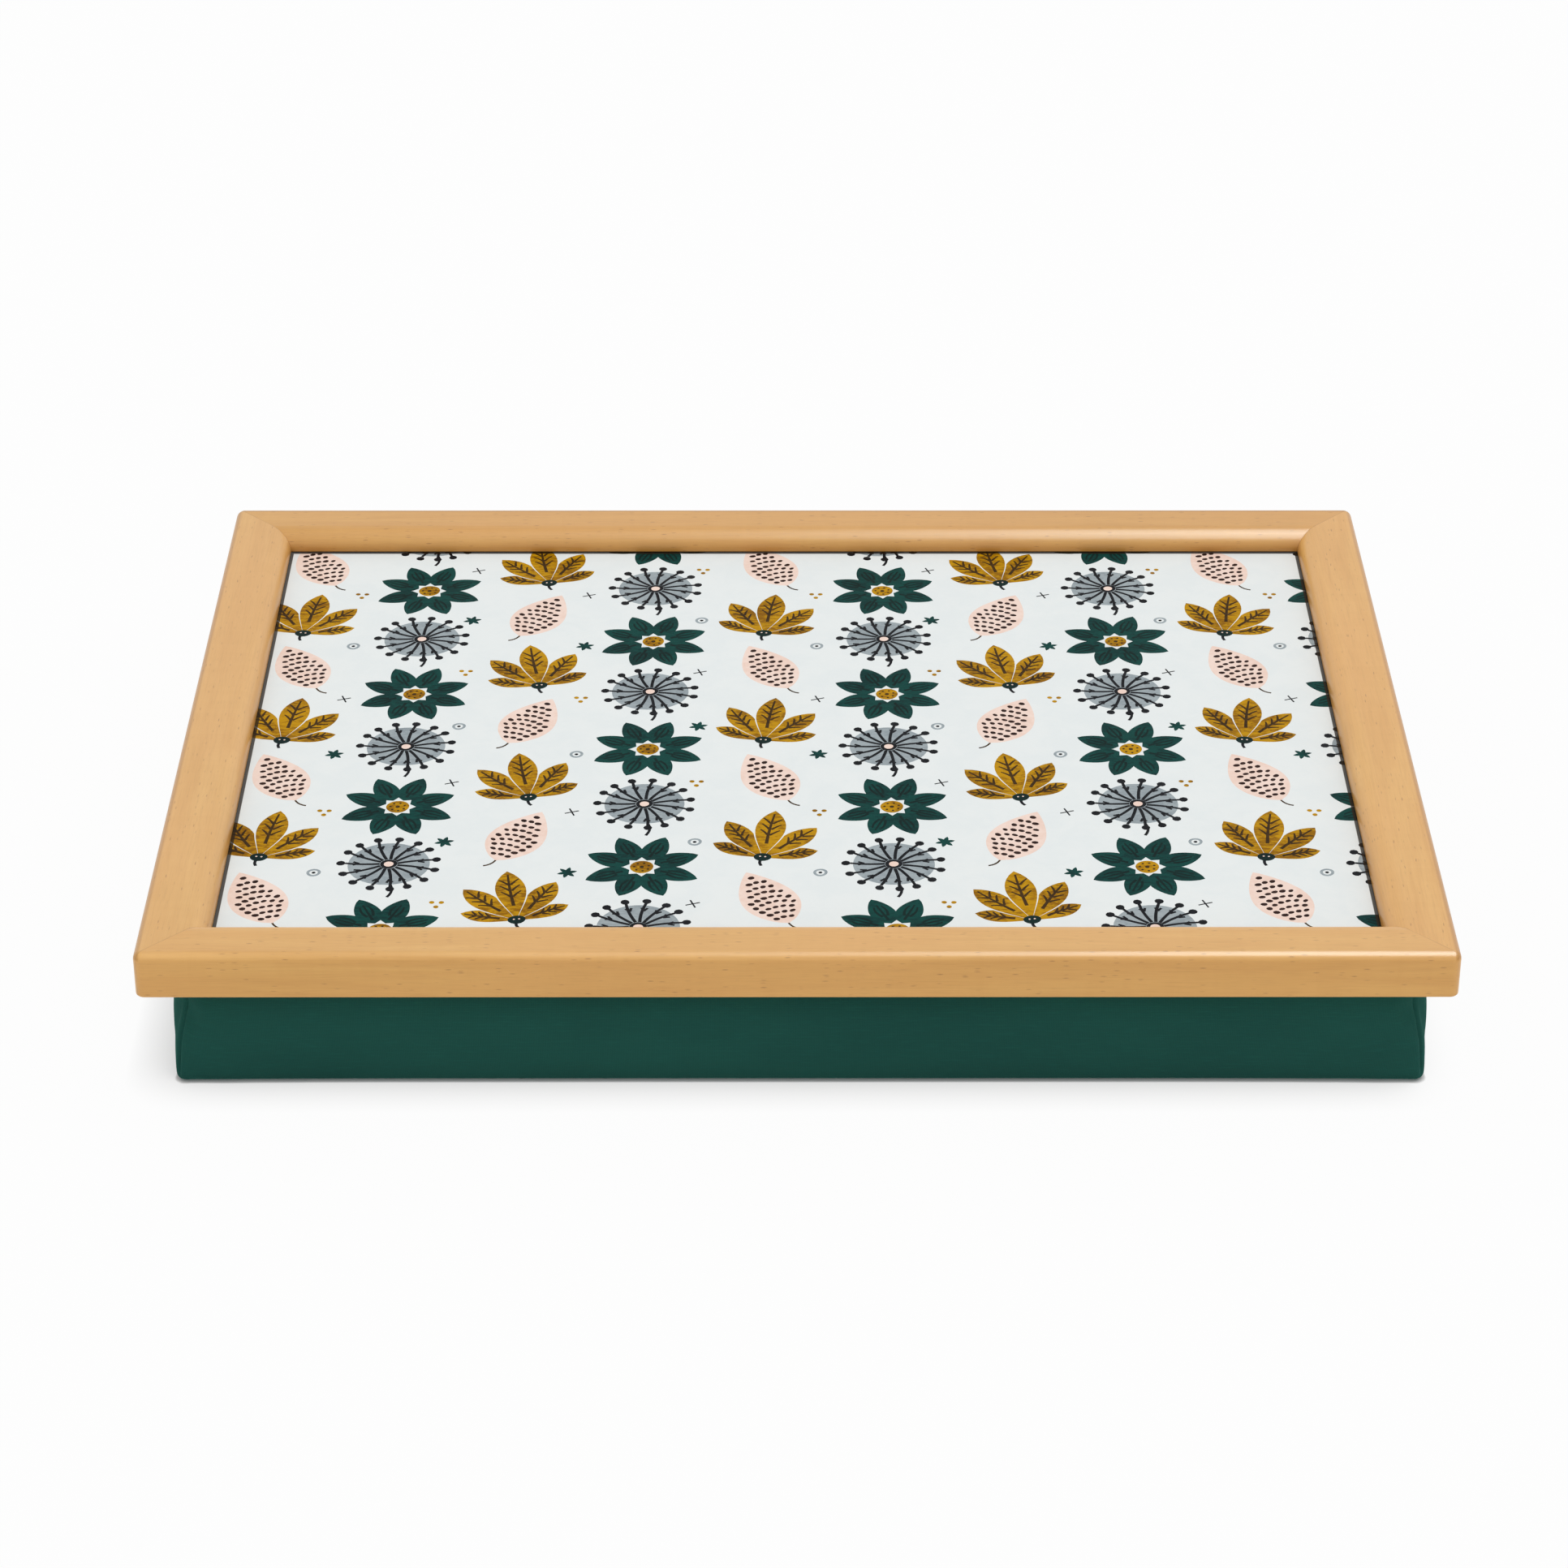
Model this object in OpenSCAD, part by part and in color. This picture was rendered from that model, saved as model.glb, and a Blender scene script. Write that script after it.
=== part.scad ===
// Lap tray: a mitred beech frame round a printed board, on a bead-filled cushion
// that is held to the underside by four pairs of hook-and-loop strips.
// Millimetres, +Z up. The origin is at the middle of the cushion's underside, X runs
// along the long side, and the front is at -Y.

/* [Frame] */
// Outside length of the frame
tray_l = 440; // [360:5:540]
// Outside width of the frame, front to back
tray_w = 330; // [260:5:420]
// Width of a rail, seen from above
rail_w = 23; // [20:0.5:34]
// Depth of the well, from the top of the rails to the board
lip_h = 8; // [8:0.25:12]
// Radius along the outer top edge of a rail
outer_round = 3; // [1:0.25:3]
// Radius along the inner top edge of a rail
inner_round = 7.5; // [2:0.25:7.5]
// Radius along the outer bottom edge of a rail
bottom_round = 0.8; // [0.4:0.1:2.4]
// Radius of the frame's corners, seen from above
corner_round = 3.2; // [3.2:0.2:6]
// Small chamfer where the lip meets the board
lip_ease = 0.4; // [0.2:0.05:0.5]
// How far the lip covers the board
board_rebate = 6.5; // [4:0.25:7.5]
// Width of the ledge that the base panel is pinned to, outside the board's rebate
ledge_w = 4.5; // [3.5:0.25:8]

/* [Board] */
// Thickness of the printed sheet on the board
print_t = 0.6; // [0.3:0.05:1.5]
// Thickness of the board
board_t = 3; // [2:0.1:6]
// Thickness of the sheet under the board, which keeps it flat
balance_t = 0.3; // [0.2:0.05:0.8]
// Thickness of the base panel
panel_t = 3; // [2:0.1:5]
// Play round the board and the base panel, at each edge
board_play = 0.3; // [0.1:0.05:0.6]

/* [Fasteners] */
// Length of one leg of a V nail, seen from below
vnail_leg = 4.2; // [3:0.1:4.3]
// Height of a V nail
vnail_h = 7; // [4:0.5:9]
// Thickness of a V nail
vnail_t = 0.5; // [0.3:0.05:0.8]
// Distance of the outermost V nail's point from the outside faces
vnail_edge = 3; // [2.6:0.1:3]
// Step from one V nail's point to the next, along each outside face
vnail_pitch = 4.4; // [3.6:0.1:4.4]
// Wood left between the innermost V nail and the recess
vnail_margin = 0.4; // [0.2:0.05:0.4]
// Diameter of a panel pin
pin_d = 1.2; // [0.8:0.1:1.6]
// Length of a panel pin under its head
pin_l = 10; // [7:0.5:11]
// Diameter of a panel pin's head
pin_head_d = 2.8; // [2.2:0.1:3.4]
// Thickness of a panel pin's head
pin_head_t = 0.5; // [0.3:0.1:0.8]
// Number of panel pins along each long side
long_pin_count = 4; // [2:1:6]
// Number of panel pins along each short side
short_pin_count = 3; // [2:1:4]
// Clearance round a nail or a pin
nail_fit = 0.04; // [0.02:0.01:0.1]

/* [Strips] */
// Length of a hook or loop strip
strip_l = 100; // [50:5:120]
// Width of a hook or loop strip
strip_w = 20; // [12:1:30]
// Radius of a strip's corners
strip_round = 2; // [1:0.25:4]
// Thickness of a hook strip
hook_t = 1.1; // [0.8:0.05:1.6]
// Thickness of a loop strip
loop_t = 1.1; // [0.8:0.05:1.6]
// Distance of a strip's outer end from the base panel's edge
strip_end_gap = 28; // [15:1:40]
// Distance of a strip's outer long edge from the base panel's edge
strip_side_gap = 24; // [15:1:40]

/* [Cushion] */
// Height of the cushion
cushion_h = 39.7; // [30:0.1:60]
// How far the cushion stands back from the frame's outside faces
cushion_inset = 9.5; // [6:0.5:20]
// Thickness of the cover's fabric
cover_t = 0.9; // [0.6:0.05:1.5]
// Radius of the cushion's upright corners, at the top
cushion_corner = 14; // [8:0.5:24]
// Radius of the cushion's upright corners, just above the lower edge
low_corner = 4.5; // [4:0.5:12]
// How far the cover is drawn in along its top seam
top_tuck = 1.6; // [0.5:0.1:4]
// How far the sides run in towards the lower edge
low_tuck = 0.2; // [0.2:0.1:3]
// How far the middle of each side swells
side_swell = 0.9; // [0.2:0.1:4]
// Radius of the rolled lower edge
low_edge = 3.5; // [2.5:0.25:12]
// How far the underside's crown stands below its edges
crown = 0.8; // [0.8:0.1:4]
// How far the upright corner seams are drawn in
seam_pinch = 0.8; // [0.2:0.1:1.5]

/* [Hidden] */
$fn = 64;

// One overrun serves every cut
overrun = 1;
// Gap between the cushion and the rails above it
cushion_gap = 0.3;
// Gap between the fill and the cover
fill_gap = 0.3;
// Depth that the underside is cut flat where the tray stands
flat_cut = 0.5;

// Heights, from the cushion's underside up
z_strip = cushion_h + loop_t;
z_panel = z_strip + hook_t;
z_balance = z_panel + panel_t;
z_board = z_balance + balance_t;
z_print = z_board + board_t;
z_well = z_print + print_t;
z_top = z_well + lip_h;
z_rail = cushion_h + cushion_gap;
rail_h = z_top - z_rail;

// Solid wood outside the recess for the base panel
outer_wall = rail_w - board_rebate - ledge_w;
// Plan sizes that the rebates set
board_l = tray_l - 2 * (rail_w - board_rebate + board_play);
board_w = tray_w - 2 * (rail_w - board_rebate + board_play);
panel_l = tray_l - 2 * (outer_wall + board_play);
panel_w = tray_w - 2 * (outer_wall + board_play);
// The pins stand in the middle of what the base panel covers of the ledge
ledge_mid = outer_wall + (board_play + ledge_w) / 2;
pin_x = tray_l / 2 - ledge_mid;
pin_y = tray_w / 2 - ledge_mid;
strip_x = panel_l / 2 - strip_end_gap - strip_l / 2;
strip_y = panel_w / 2 - strip_side_gap - strip_w / 2;
// Half the angle between a V nail's legs, and how far a leg reaches in from its point
vnail_half = 35;
vnail_reach = vnail_leg * cos(45 - vnail_half);
// As many V nails as the solid wood outside the recess holds
vnail_room = outer_wall - vnail_edge - vnail_reach - vnail_margin;
vnail_count = 1 + max(0, floor(vnail_room / vnail_pitch));

// The cover's outline: points in each quarter along the short side, the corner and the long side
short_steps = 3;
arc_steps = 4;
long_steps = 4;
ring_points = 4 * (short_steps + arc_steps + long_steps);
cushion_a = tray_l / 2 - cushion_inset;
cushion_b = tray_w / 2 - cushion_inset;
cover_rim = cushion_h - cover_t;
// Height of the underside's edge over the floor, where the lower edge's roll ends
edge_z = crown - flat_cut;
side_foot = edge_z + low_edge;

beech = [0.86, 0.68, 0.45];
steel = [0.72, 0.73, 0.75];
hardboard = [0.5, 0.35, 0.22];
green = [0.1, 0.28, 0.25];

// FRAME

// Section of a rail: x is the distance in from the outside face, y is the height
module rail_section() {
    difference() {
        union() {
            polygon([
                [bottom_round, 0],
                [rail_w, 0],
                [rail_w, rail_h - inner_round],
                [rail_w - inner_round, rail_h],
                [outer_round, rail_h],
                [0, rail_h - outer_round],
                [0, bottom_round]
            ]);
            translate([bottom_round, bottom_round]) circle(bottom_round);
            translate([outer_round, rail_h - outer_round]) circle(outer_round);
            translate([rail_w - inner_round, rail_h - inner_round]) circle(inner_round);
        }
        // Rebate for the board, under the lip
        translate([rail_w - board_rebate, -overrun])
            square([board_rebate + overrun, z_well - z_rail + overrun]);
        // Wider recess for the base panel
        translate([outer_wall, -overrun])
            square([rail_w - outer_wall + overrun, z_balance - z_rail + overrun]);
        // Eased lower edge of the lip
        polygon([
            [rail_w - lip_ease, z_well - z_rail - overrun],
            [rail_w - lip_ease, z_well - z_rail],
            [rail_w, z_well - z_rail + lip_ease],
            [rail_w + overrun, z_well - z_rail + lip_ease],
            [rail_w + overrun, z_well - z_rail - overrun]
        ]);
    }
}

// Section of the outer corner, from its upright axis out to the rounded edges
module corner_section() {
    union() {
        polygon([
            [0, 0],
            [corner_round - bottom_round, 0],
            [corner_round, bottom_round],
            [corner_round, rail_h - outer_round],
            [corner_round - outer_round, rail_h],
            [0, rail_h]
        ]);
        intersection() {
            union() {
                translate([corner_round - bottom_round, bottom_round]) circle(bottom_round);
                translate([corner_round - outer_round, rail_h - outer_round]) circle(outer_round);
            }
            square([corner_round + overrun, rail_h + overrun]);
        }
    }
}

// A V nail: two legs that open inwards from a point on the mitre line
module vnail_plan(grow) {
    for (side = [-1, 1])
        rotate(45 + side * vnail_half)
            translate([-vnail_t / 2 - grow, -vnail_t / 2 - grow])
                square([vnail_leg + vnail_t / 2 + 2 * grow, vnail_t + 2 * grow]);
}

// The V nails of one corner, whose outside faces run along +X and +Y from the origin
module corner_vnails(grow, drop) {
    for (i = [0:vnail_count - 1])
        let (p = vnail_edge + i * vnail_pitch)
            translate([p, p, -drop])
                linear_extrude(vnail_h + grow + drop) vnail_plan(grow);
}

// One mitred rail along X, centred, with its outside face at y = 0 and its underside at z = 0
module rail(len) {
    straight = len - 2 * corner_round;
    difference() {
        union() {
            intersection() {
                translate([-straight / 2, 0, 0])
                    rotate([90, 0, 90])
                        linear_extrude(straight) rail_section();
                // The mitres, along a line at 45 degrees in from each outer corner
                translate([0, 0, -overrun])
                    linear_extrude(rail_h + 2 * overrun)
                        polygon([
                            [-len / 2 - overrun, -overrun],
                            [len / 2 + overrun, -overrun],
                            [len / 2 - rail_w - overrun, rail_w + overrun],
                            [-len / 2 + rail_w + overrun, rail_w + overrun]
                        ]);
            }
            // The rounded corners, up to the mitre line
            for (end = [0, 1])
                mirror([end, 0, 0])
                    translate([straight / 2, corner_round, 0])
                        rotate([0, 0, -90]) rotate_extrude(angle = 45) corner_section();
        }
        translate([-len / 2, 0, 0]) corner_vnails(nail_fit, overrun);
        translate([len / 2, 0, 0]) mirror([1, 0, 0]) corner_vnails(nail_fit, overrun);
        rail_pin_holes(len);
    }
}

// Places of the panel pins along a rail, from its middle
function pin_places(len) =
    let (n = len == tray_l ? long_pin_count : short_pin_count, run = len - 2 * ledge_mid)
    [for (i = [0:n - 1]) run * ((i + 0.5) / n - 0.5)];

module rail_pin_holes(len) {
    for (p = pin_places(len))
        translate([p, ledge_mid, -overrun])
            cylinder(d = pin_d + 2 * nail_fit, h = z_panel - z_rail + pin_l + nail_fit + overrun);
}

// Sets a rail's module on each side of the frame
module on_front() { translate([0, -tray_w / 2, z_rail]) children(); }
module on_back() { rotate([0, 0, 180]) translate([0, -tray_w / 2, z_rail]) children(); }
module on_left() { rotate([0, 0, -90]) translate([0, -tray_l / 2, z_rail]) children(); }
module on_right() { rotate([0, 0, 90]) translate([0, -tray_l / 2, z_rail]) children(); }

module front_rail() { color(beech) on_front() rail(tray_l); }
module back_rail() { color(beech) on_back() rail(tray_l); }
module left_rail() { color(beech) on_left() rail(tray_w); }
module right_rail() { color(beech) on_right() rail(tray_w); }

// V nails draw each mitre together from below
module corner_nails() {
    color(steel)
        for (mx = [0, 1], my = [0, 1])
            mirror([mx, 0, 0]) mirror([0, my, 0])
                translate([-tray_l / 2, -tray_w / 2, z_rail])
                    corner_vnails(0, 0);
}

// BOARD AND BASE PANEL

module sheet(l, w, t, z) {
    translate([-l / 2, -w / 2, z]) cube([l, w, t]);
}

module print_sheet() { color([0.9, 0.92, 0.92]) sheet(board_l, board_w, print_t, z_print); }
module tray_board() { color([0.72, 0.58, 0.42]) sheet(board_l, board_w, board_t, z_board); }
module balance_sheet() { color([0.85, 0.83, 0.78]) sheet(board_l, board_w, balance_t, z_balance); }

// Every place of a panel pin, as [x, y]
function all_pins() = concat(
    [for (p = pin_places(tray_l), s = [-1, 1]) [p, s * pin_y]],
    [for (p = pin_places(tray_w), s = [-1, 1]) [s * pin_x, p]]
);

module base_panel() {
    color(hardboard)
        difference() {
            sheet(panel_l, panel_w, panel_t, z_panel);
            for (p = all_pins())
                translate([p[0], p[1], z_panel - overrun])
                    cylinder(d = pin_d + 2 * nail_fit, h = panel_t + 2 * overrun);
        }
}

module panel_pins() {
    color(steel)
        for (p = all_pins())
            translate([p[0], p[1], z_panel]) {
                cylinder(d = pin_d, h = pin_l);
                translate([0, 0, -pin_head_t]) cylinder(d = pin_head_d, h = pin_head_t);
            }
}

// HOOK-AND-LOOP STRIPS

module strip_plan() {
    x = strip_l / 2 - strip_round;
    y = strip_w / 2 - strip_round;
    union() {
        square([strip_l, 2 * y], center = true);
        square([2 * x, strip_w], center = true);
        for (sx = [-1, 1], sy = [-1, 1])
            translate([sx * x, sy * y]) circle(strip_round);
    }
}

module four_strips(z, t) {
    for (sx = [-1, 1], sy = [-1, 1])
        translate([sx * strip_x, sy * strip_y, z])
            linear_extrude(t) strip_plan();
}

module hook_strips() { color([0.12, 0.12, 0.13]) four_strips(z_strip, hook_t); }
module loop_strips() { color([0.16, 0.16, 0.17]) four_strips(cushion_h, loop_t); }

// CUSHION

// One quarter of an outline with half sizes a and b, corner radius r and swell k, from the
// middle of the +X side to just before the middle of the +Y side
function side_swell_at(share, k) = side_swell * k * cos(90 * share);
function quarter(a, b, r, k) = concat(
    [for (i = [0:short_steps - 1])
        let (s = i / short_steps) [a + side_swell_at(s, k), (b - r) * s]],
    [for (i = [0:arc_steps])
        let (t = 90 * i / arc_steps, q = r - (2 * i == arc_steps ? seam_pinch * k : 0))
        [a - r + q * cos(t), b - r + q * sin(t)]],
    [for (i = [long_steps - 1:-1:0])
        let (s = i / long_steps) [(a - r) * s, b + side_swell_at(s, k)]]
);
function flipped(points, sx, sy) = [for (p = points) [sx * p[0], sy * p[1]]];
function backwards(points) = [for (i = [len(points) - 1:-1:0]) points[i]];
function head(points) = [for (i = [0:len(points) - 2]) points[i]];

// The whole outline, anticlockwise seen from above
function outline(a, b, r, k) =
    let (q = quarter(a, b, r, k))
    concat(
        head(q),
        head(backwards(flipped(q, -1, 1))),
        head(flipped(q, -1, -1)),
        head(backwards(flipped(q, 1, -1)))
    );

// The cover's profile from its top seam to its underside, as rows of
// [inset, height, share of the plan, lean of the surface in degrees, share of the swell,
// share of the upper corner radius]
roll_turns = [30, 60, 90];
under_shares = [0.88, 0.7];
side_drop_shares = [0, 0.16, 0.5];
side_tuck_shares = [1, 0.3, 0];
side_swell_shares = [0.3, 0.75, 1];
side_corner_shares = [1, 0.85, 0.4];
foot_swell_share = 0.7;

function under_z(share) = max(0, crown * pow(share, 4) - flat_cut);
profile = concat(
    [for (i = [0:len(side_drop_shares) - 1])
        [top_tuck * side_tuck_shares[i],
         cover_rim - (cover_rim - side_foot) * side_drop_shares[i], 1, 0, side_swell_shares[i],
         side_corner_shares[i]]],
    [[low_tuck, side_foot, 1, 0, foot_swell_share, 0]],
    [for (t = roll_turns)
        [low_tuck + low_edge * (1 - cos(t)), side_foot - low_edge * sin(t), 1, t,
         foot_swell_share * cos(t), 0]],
    [for (s = under_shares)
        [low_tuck + low_edge, under_z(s), s, 90, 0, 0]]
);

function corner_at(share) = low_corner + (cushion_corner - low_corner) * share;

// The rings of a surface that lies t inside the cover's outer face; its top ring is at height top
function rings(t, top) = [
    for (row = [0:len(profile) - 1])
        let (
            p = profile[row],
            inset = p[0] + t * cos(p[3]),
            z = row == 0 ? top : p[1] + t * sin(p[3]),
            r = max(corner_at(p[5]) - inset, low_edge / 2)
        )
        [for (q = outline(cushion_a - inset, cushion_b - inset, r, p[4]))
            [q[0] * p[2], q[1] * p[2], z]]
];
function flat(lists) = [for (l = lists, p = l) p];

// Triangles between the ring that starts at point m and the one below it, at point n
function band(m, n) = [
    for (i = [0:ring_points - 1])
        let (j = (i + 1) % ring_points)
        for (f = [[m + i, m + j, n + j], [m + i, n + j, n + i]]) f
];
// Triangles from a ring to one point, facing down
function fan(m, point) = [for (i = [0:ring_points - 1]) [m + i, m + (i + 1) % ring_points, point]];
function turned(faces) = [for (f = faces) [f[0], f[2], f[1]]];
function skin(start, rows) = flat([
    for (k = [0:rows - 2]) band(start + k * ring_points, start + (k + 1) * ring_points)
]);

// The sides and the underside, one piece of fabric with a seam up each corner
module cover_shell() {
    rows = len(profile);
    count = rows * ring_points;
    outer = flat(rings(0, cover_rim));
    inner = flat(rings(cover_t, cover_rim));
    points = concat(outer, inner, [[0, 0, 0]], [[0, 0, cover_t]]);
    color(green)
        polyhedron(
            points = points,
            faces = concat(
                skin(0, rows),
                fan(count - ring_points, 2 * count),
                turned(skin(count, rows)),
                turned(fan(2 * count - ring_points, 2 * count + 1)),
                turned(band(0, count))
            )
        );
}

// The top panel, pulled flat under the tray
module cover_top() {
    top = profile[0];
    color(green)
        translate([0, 0, cover_rim])
            linear_extrude(cover_t)
                polygon(outline(
                    cushion_a - top[0], cushion_b - top[0], cushion_corner - top[0], top[4]
                ));
}

// The beads, as the one body that they make inside the cover
module bead_fill() {
    rows = len(profile);
    count = rows * ring_points;
    inside = cover_t + fill_gap;
    top = cover_rim - fill_gap;
    points = concat(flat(rings(inside, top)), [[0, 0, inside]], [[0, 0, top]]);
    color([0.95, 0.95, 0.93])
        polyhedron(
            points = points,
            faces = concat(
                skin(0, rows),
                fan(count - ring_points, count),
                turned(fan(0, count + 1))
            )
        );
}

front_rail();
back_rail();
left_rail();
right_rail();
corner_nails();
print_sheet();
tray_board();
balance_sheet();
base_panel();
panel_pins();
hook_strips();
loop_strips();
cover_top();
cover_shell();
bead_fill();
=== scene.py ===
# Lap tray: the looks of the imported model. Metres, in the model's own frame: +Z up,
# the front long side at -Y, the cushion's underside at z = 0.
import math
import random

import bmesh
import bpy
import numpy as np
from mathutils import Matrix, Vector
from mathutils.geometry import delaunay_2d_cdt


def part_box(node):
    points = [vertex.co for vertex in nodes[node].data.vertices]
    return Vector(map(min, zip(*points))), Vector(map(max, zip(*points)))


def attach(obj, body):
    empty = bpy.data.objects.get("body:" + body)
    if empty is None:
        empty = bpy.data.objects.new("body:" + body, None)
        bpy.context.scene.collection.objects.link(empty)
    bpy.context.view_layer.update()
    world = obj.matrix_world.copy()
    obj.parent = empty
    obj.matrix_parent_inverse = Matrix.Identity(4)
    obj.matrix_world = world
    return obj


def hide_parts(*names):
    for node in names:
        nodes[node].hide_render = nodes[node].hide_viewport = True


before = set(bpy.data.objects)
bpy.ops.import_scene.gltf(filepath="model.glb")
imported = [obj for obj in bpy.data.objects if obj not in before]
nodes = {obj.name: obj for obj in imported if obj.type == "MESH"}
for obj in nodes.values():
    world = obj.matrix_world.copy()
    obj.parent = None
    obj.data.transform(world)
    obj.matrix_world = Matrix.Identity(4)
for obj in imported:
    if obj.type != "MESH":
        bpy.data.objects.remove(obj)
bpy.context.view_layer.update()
scene = bpy.context.scene
MM = 0.001

# Half sizes of the frame, from the model
FRAME_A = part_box("front_rail")[1].x
FRAME_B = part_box("right_rail")[1].y
# Height of the board, and where the long and the short rails' inner faces are
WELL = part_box("print_sheet")[1].z
RAIL_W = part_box("front_rail")[1].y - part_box("front_rail")[0].y
WELL_A, WELL_B = FRAME_A - RAIL_W, FRAME_B - RAIL_W


def add_object(name, data):
    made = bpy.data.objects.new(name, data)
    scene.collection.objects.link(made)
    return made


# CAMERA

# Its lens in millimetres, place in metres, and turns in degrees: aim, tilt and roll
LENS = 100.759
CAMERA_AT = (-0.0063, -1.3899, 0.8336)
AIM, TILT, ROLL = -0.087, 59.854, 0.029


def make_camera():
    data = bpy.data.cameras.new("camera")
    data.lens = LENS
    data.sensor_width = 36
    data.clip_start, data.clip_end = 0.05, 50
    camera = add_object("camera", data)
    camera.matrix_world = (
        Matrix.Translation(CAMERA_AT)
        @ Matrix.Rotation(math.radians(AIM), 4, "Z")
        @ Matrix.Rotation(math.radians(TILT), 4, "X")
        @ Matrix.Rotation(math.radians(ROLL), 4, "Z")
    )
    scene.camera = camera


# SHADER NODES


class Nodes:
    """A node tree, with a short call for each kind of node that is used here."""

    def __init__(self, tree):
        self.tree = tree
        tree.nodes.clear()

    def feed(self, socket, value):
        if isinstance(value, bpy.types.NodeSocket):
            self.tree.links.new(value, socket)
        elif socket.type == "RGBA":
            socket.default_value = (*value, 1.0)
        else:
            socket.default_value = value

    def node(self, kind, feeds=(), **settings):
        """A node, its inputs fed in order, or by number or name from a dict."""
        made = self.tree.nodes.new("ShaderNode" + kind)
        for key, value in settings.items():
            setattr(made, key, value)
        for key, value in feeds.items() if isinstance(feeds, dict) else enumerate(feeds):
            self.feed(made.inputs[key], value)
        return made

    def math(self, kind, *values, clamp=False):
        return self.node("Math", values, operation=kind, use_clamp=clamp).outputs[0]

    def times(self, a, b):
        return self.math("MULTIPLY", a, b)

    def larger(self, a, b):
        return self.math("MAXIMUM", a, b)

    def size(self, value):
        return self.math("ABSOLUTE", value)

    def wave(self, value, turn):
        return self.math("SINE", self.times(value, turn))

    def point(self, x, y, z):
        return self.node("CombineXYZ", (x, y, z)).outputs[0]

    def parts(self, vector):
        return tuple(self.node("SeparateXYZ", (vector,)).outputs)

    def stretched(self, u, v, w, ku, kv, kw, shift=0.0):
        """A point with each coordinate scaled and then shifted."""
        return self.point(
            self.math("MULTIPLY_ADD", u, ku, shift),
            self.math("MULTIPLY_ADD", v, kv, shift * 1.37),
            self.math("MULTIPLY_ADD", w, kw, shift * 0.71),
        )

    def noise(self, *place, detail=2.0, rough=0.5, warp=0.0):
        """Noise at a place given as for stretched."""
        feeds = {
            "Vector": self.stretched(*place), "Scale": 1.0,
            "Detail": detail, "Roughness": rough, "Distortion": warp,
        }
        return self.node("TexNoise", feeds).outputs[0]

    def cells(self, *place, feature="F1"):
        """Cells at a place given as for stretched: their distance and colour."""
        feeds = {"Vector": self.stretched(*place), "Scale": 1.0}
        return self.node("TexVoronoi", feeds, feature=feature).outputs

    def between(self, value, low, high, start=0.0, end=1.0):
        """start at low, end at high, and held beyond them."""
        feeds = (value, low, high, start, end)
        return self.node("MapRange", feeds, interpolation_type="SMOOTHSTEP").outputs[0]

    def blend(self, share, a, b, kind="MIX"):
        feeds = {0: share, 6: a, 7: b}
        return self.node("Mix", feeds, data_type="RGBA", blend_type=kind).outputs[2]

    def mixed(self, share, a, b):
        return self.node("MixShader", (share, a, b)).outputs[0]

    def bump(self, height, distance, strength, **normal):
        feeds = {"Height": height, "Distance": distance, "Strength": strength, **normal}
        return self.node("Bump", feeds).outputs[0]

    def seen(self, path):
        """1 for a ray from the camera, off a gloss or through glass."""
        rays = self.larger(path.outputs["Is Camera Ray"], path.outputs["Is Glossy Ray"])
        return self.larger(rays, path.outputs["Is Transmission Ray"])


class Shader(Nodes):
    """A material with one principled surface."""

    def __init__(self, name, values=()):
        self.material = bpy.data.materials.new(name)
        self.material.use_nodes = True
        super().__init__(self.material.node_tree)
        self.surface = self.node("BsdfPrincipled", values)
        self.node("OutputMaterial", {"Surface": self.surface.outputs[0]})
        self.coords = self.node("TexCoord")

    def place(self):
        return self.parts(self.coords.outputs["Object"])

    def facing(self):
        return self.parts(self.coords.outputs["Normal"])

    def finished(self, color, rough, normal):
        """The material, with what varies over its surface."""
        for key, value in (("Base Color", color), ("Roughness", rough), ("Normal", normal)):
            self.feed(self.surface.inputs[key], value)
        return self.material


def scaled(color, k):
    k = k if isinstance(k, tuple) else (k, k, k)
    return tuple(c * m for c, m in zip(color, k))


# MATERIALS
# Lengths in metres.

# Beech: pale, deep and pink wood, fibres, flecks and the line at a mitre
BEECH = (
    (0.755, 0.445, 0.147), (0.632, 0.333, 0.096), (0.725, 0.395, 0.132),
    (0.50, 0.262, 0.078), (0.36, 0.175, 0.058), (0.30, 0.15, 0.055),
)
# Distances inside the well's edge over which the joint beside the lips darkens with painted shade and
# dust
JOINT_SHADE_AND_DUST = (0.00030, 0.00014)
# Half a mitre's line, from dark to clear
MITRE = (0.00008, 0.00036)
# How far out the rails' inner rounding reaches
ROUNDING = (0.004, 0.006)
SCREEN_PITCH = 0.0021
WEAVE_PITCH = 0.00042
RIB_PITCH = 0.00055
TWIST = 16000


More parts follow.
